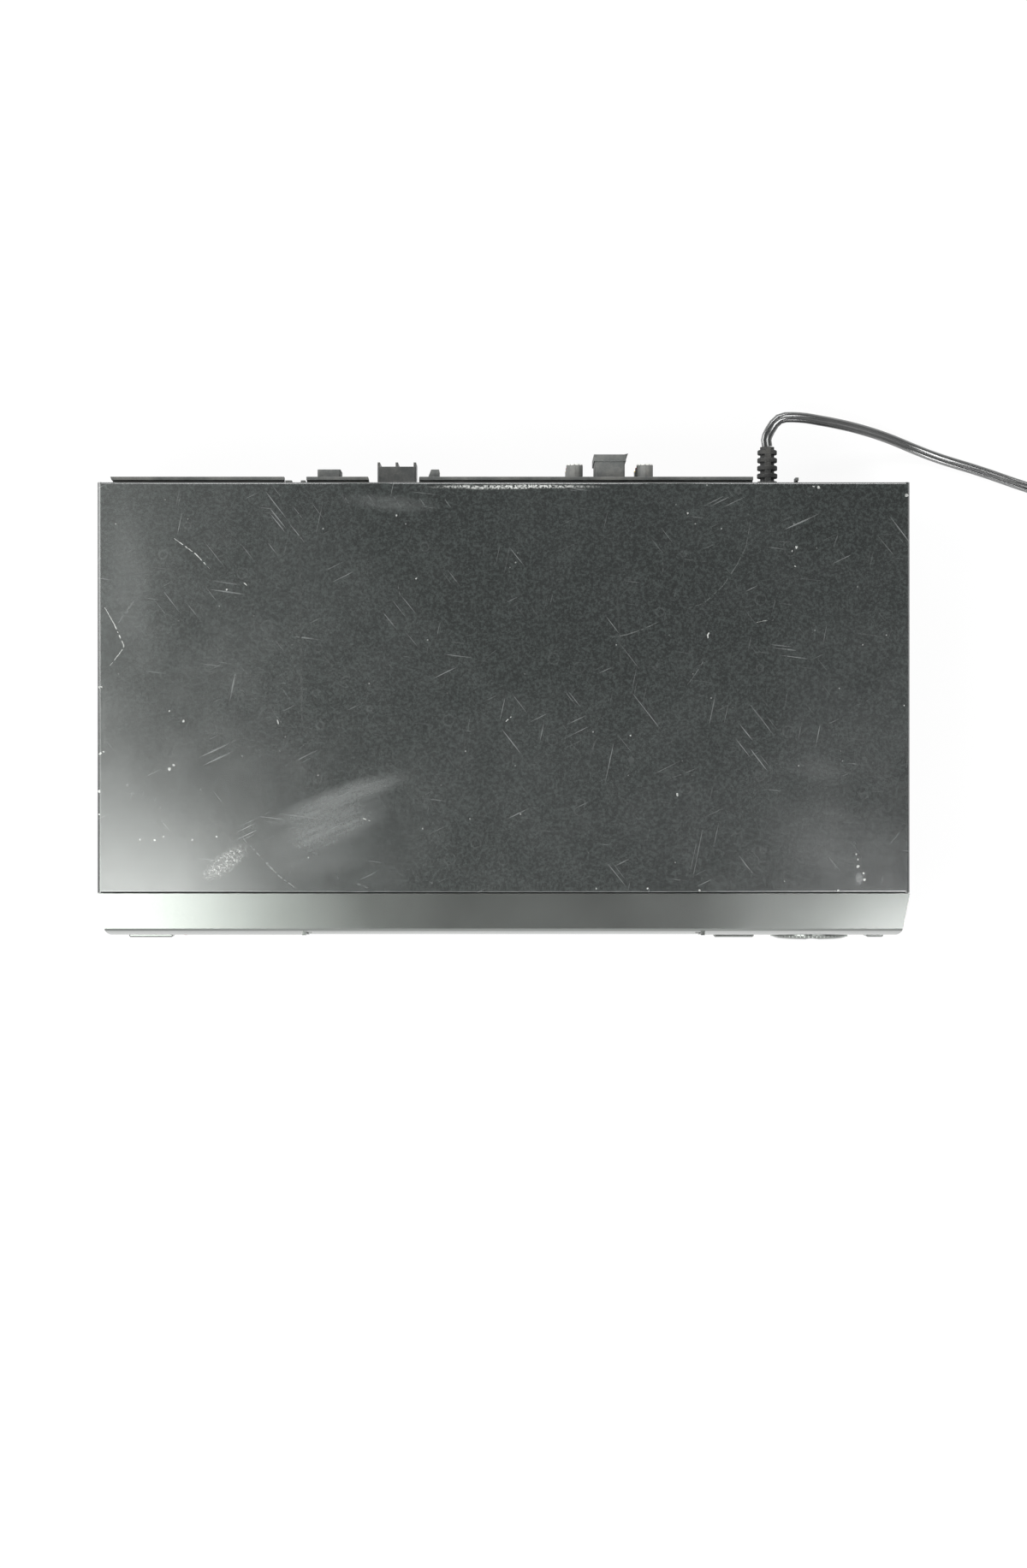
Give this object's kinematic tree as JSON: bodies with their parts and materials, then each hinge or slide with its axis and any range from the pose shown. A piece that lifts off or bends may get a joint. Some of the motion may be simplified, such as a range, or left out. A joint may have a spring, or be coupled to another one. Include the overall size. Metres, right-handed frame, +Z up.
{
  "type": "video cassette recorder",
  "caption": "Home video cassette recorder with a hinged cassette door, display window, push buttons, a shuttle ring, cassette lift, tape deck and coiled mains cord.",
  "frame": {"origin": "centre of the casing's footprint, on the surface that the feet stand on, without the cord", "axes": "+X to the right seen from the front, the front faces -Y, +Z up"},
  "size_m": [0.57, 0.2686, 0.094],
  "materials": {
    "cover_paint": "satin dark grey paint on bent sheet steel",
    "silver_plastic": "silver lacquer on moulded plastic",
    "black_plastic": "moulded black plastic, slightly worn",
    "grey_plastic": "moulded grey plastic",
    "smoked_window": "dark smoked acrylic",
    "white_plastic": "white moulded plastic",
    "brown_board": "brown paper laminate board",
    "zinc_steel": "zinc plated sheet steel",
    "cast_alloy": "machined cast aluminium",
    "polished_steel": "ground and polished steel",
    "copper_winding": "enamelled copper wire and steel core",
    "soft_rubber": "black rubber",
    "cord_vinyl": "dark grey vinyl"
  },
  "bodies": {
    "casing": {"audio_head": "polished_steel", "av_input_jacks": "grey_plastic", "av_output_jacks": "grey_plastic", "bottom_chassis": "zinc_steel", "capstan_bearing": "cast_alloy", "capstan_motor": "brown_board", "channel_switch": "zinc_steel", "cord_coil": "cord_vinyl", "deck_plate": "zinc_steel", "display_tube": "smoked_window", "display_window": "smoked_window", "foot_front_left": "soft_rubber", "foot_front_right": "soft_rubber", "foot_rear_left": "soft_rubber", "foot_rear_right": "soft_rubber", "front_av_jacks": "black_plastic", "front_bezel": "silver_plastic", "front_board": "brown_board", "full_erase_head": "zinc_steel", "loading_motor": "zinc_steel", "lower_drum": "cast_alloy", "main_board": "brown_board", "power_cord": "cord_vinyl", "power_plug": "cord_vinyl", "power_supply_board": "brown_board", "power_transformer": "copper_winding", "rear_panel": "black_plastic", "side_bracket_left": "zinc_steel", "side_bracket_right": "zinc_steel", "strain_relief": "soft_rubber", "top_cover": "cover_paint", "tuner_module": "zinc_steel"},
    "door": {"cassette_door": "silver_plastic"},
    "ring": {"shuttle_ring": "silver_plastic"},
    "play": {"play_button": "silver_plastic"},
    "knob": {"channel_knob": "white_plastic"},
    "slider": {"holder_slider": "zinc_steel"},
    "holder": {"cassette_holder": "zinc_steel"},
    "gear": {"drive_gear": "white_plastic"},
    "pinion": {"motor_pinion": "white_plastic"},
    "drum": {"upper_drum": "cast_alloy"},
    "flywheel": {"capstan_flywheel": "polished_steel"},
    "supply_reel": {"supply_reel_table": "white_plastic"},
    "takeup_reel": {"takeup_reel_table": "white_plastic"},
    "idler": {"idler_arm": "zinc_steel"},
    "idler_tyre": {"idler_wheel": "soft_rubber"},
    "pinch": {"pinch_arm": "zinc_steel"},
    "roller": {"pinch_roller": "soft_rubber"},
    "supply_sled": {"supply_guide_sled": "polished_steel"},
    "takeup_sled": {"takeup_guide_sled": "polished_steel"},
    "power": {"power_button": "silver_plastic"},
    "eject": {"eject_button": "silver_plastic"},
    "channel_up": {"channel_up_button": "silver_plastic"},
    "channel_down": {"channel_down_button": "silver_plastic"},
    "rewind": {"rewind_button": "silver_plastic"},
    "stop": {"stop_button": "silver_plastic"},
    "pause": {"pause_button": "silver_plastic"},
    "forward": {"forward_button": "silver_plastic"},
    "record": {"record_button": "silver_plastic"}
  },
  "joints": [
    {"name": "power_press", "type": "slide", "parent": "casing", "child": "power", "axis": [0, 1, 0], "range_m": [0, 0.0012], "stiffness_N_per_m": 150},
    {"name": "eject_press", "type": "slide", "parent": "casing", "child": "eject", "axis": [0, 1, 0], "range_m": [0, 0.0012], "stiffness_N_per_m": 150},
    {"name": "channel_up_press", "type": "slide", "parent": "casing", "child": "channel_up", "axis": [0, 1, 0], "range_m": [0, 0.0012], "stiffness_N_per_m": 150},
    {"name": "channel_down_press", "type": "slide", "parent": "casing", "child": "channel_down", "axis": [0, 1, 0], "range_m": [0, 0.0012], "stiffness_N_per_m": 150},
    {"name": "rewind_press", "type": "slide", "parent": "casing", "child": "rewind", "axis": [0, 1, 0], "range_m": [0, 0.0012], "stiffness_N_per_m": 150},
    {"name": "stop_press", "type": "slide", "parent": "casing", "child": "stop", "axis": [0, 1, 0], "range_m": [0, 0.0012], "stiffness_N_per_m": 150},
    {"name": "pause_press", "type": "slide", "parent": "casing", "child": "pause", "axis": [0, 1, 0], "range_m": [0, 0.0012], "stiffness_N_per_m": 150},
    {"name": "forward_press", "type": "slide", "parent": "casing", "child": "forward", "axis": [0, 1, 0], "range_m": [0, 0.0012], "stiffness_N_per_m": 150},
    {"name": "record_press", "type": "slide", "parent": "casing", "child": "record", "axis": [0, 1, 0], "range_m": [0, 0.0012], "stiffness_N_per_m": 150},
    {"name": "play_press", "type": "slide", "parent": "casing", "child": "play", "axis": [0, 1, 0], "range_m": [0, 0.0012], "stiffness_N_per_m": 150},
    {"name": "ring_turn", "type": "hinge", "parent": "casing", "child": "ring", "pos_m": [0.1545, -0.1225, 0.05], "axis": [0, -1, 0], "range_deg": [-70, 70], "stiffness_Nm_per_rad": 0.03},
    {"name": "door_swing", "type": "hinge", "parent": "casing", "child": "door", "pos_m": [0, -0.11886, 0.0867], "axis": [1, 0, 0], "range_deg": [0, 90], "stiffness_Nm_per_rad": 0.01, "springref_deg": -17.19},
    {"name": "knob_slide", "type": "slide", "parent": "casing", "child": "knob", "axis": [1, 0, 0], "range_m": [0, 0.004]},
    {"name": "holder_slide", "type": "slide", "parent": "casing", "child": "slider", "axis": [0, 1, 0], "range_m": [0, 0.045]},
    {"name": "holder_drop", "type": "slide", "parent": "slider", "child": "holder", "axis": [0, 0, -1], "range_m": [0, 0.022]},
    {"name": "gear_turn", "type": "hinge", "parent": "casing", "child": "gear", "pos_m": [0.1016, -0.03706, 0.0618], "axis": [1, 0, 0], "range_deg": [-185, 0]},
    {"name": "pinion_turn", "type": "hinge", "parent": "casing", "child": "pinion", "pos_m": [0.1016, -0.03706, 0.0418], "axis": [1, 0, 0], "range_deg": [0, 430]},
    {"name": "drum_spin", "type": "hinge", "parent": "casing", "child": "drum", "pos_m": [0, 0.044, 0.0338], "axis": [0, 0.1028, 0.9947], "continuous": true},
    {"name": "capstan_spin", "type": "hinge", "parent": "casing", "child": "flywheel", "pos_m": [0.062, 0.008, 0.02], "axis": [0, 0, 1], "continuous": true},
    {"name": "supply_spin", "type": "hinge", "parent": "casing", "child": "supply_reel", "pos_m": [-0.0462, -0.053, 0.0295], "axis": [0, 0, 1], "continuous": true},
    {"name": "takeup_spin", "type": "hinge", "parent": "casing", "child": "takeup_reel", "pos_m": [0.0462, -0.053, 0.0295], "axis": [0, 0, 1], "continuous": true},
    {"name": "idler_swing", "type": "hinge", "parent": "casing", "child": "idler", "pos_m": [0, -0.079, 0.0295], "axis": [0, 0, 1], "range_deg": [-17, 17]},
    {"name": "idler_spin", "type": "hinge", "parent": "idler", "child": "idler_tyre", "pos_m": [0, -0.0565, 0.031], "axis": [0, 0, 1], "continuous": true},
    {"name": "pinch_swing", "type": "hinge", "parent": "casing", "child": "pinch", "pos_m": [0.088, 0.02, 0.0295], "axis": [0, 0, 1], "range_deg": [0, 22]},
    {"name": "roller_spin", "type": "hinge", "parent": "pinch", "child": "roller", "pos_m": [0.06726, 0.02329, 0.036], "axis": [0, 0, 1], "continuous": true},
    {"name": "supply_sled_slide", "type": "slide", "parent": "casing", "child": "supply_sled", "axis": [-0.3539, 0.9353, 0], "range_m": [0, 0.03955]},
    {"name": "takeup_sled_slide", "type": "slide", "parent": "casing", "child": "takeup_sled", "axis": [0.3539, 0.9353, 0], "range_m": [0, 0.03955]}
  ],
  "couplings": [
    {"joint": "gear_turn", "follows": "holder_slide", "rad_per_m": -71.429},
    {"joint": "pinion_turn", "follows": "holder_slide", "rad_per_m": 166.67},
    {"joint": "takeup_sled_slide", "follows": "supply_sled_slide", "ratio": 1}
  ]
}
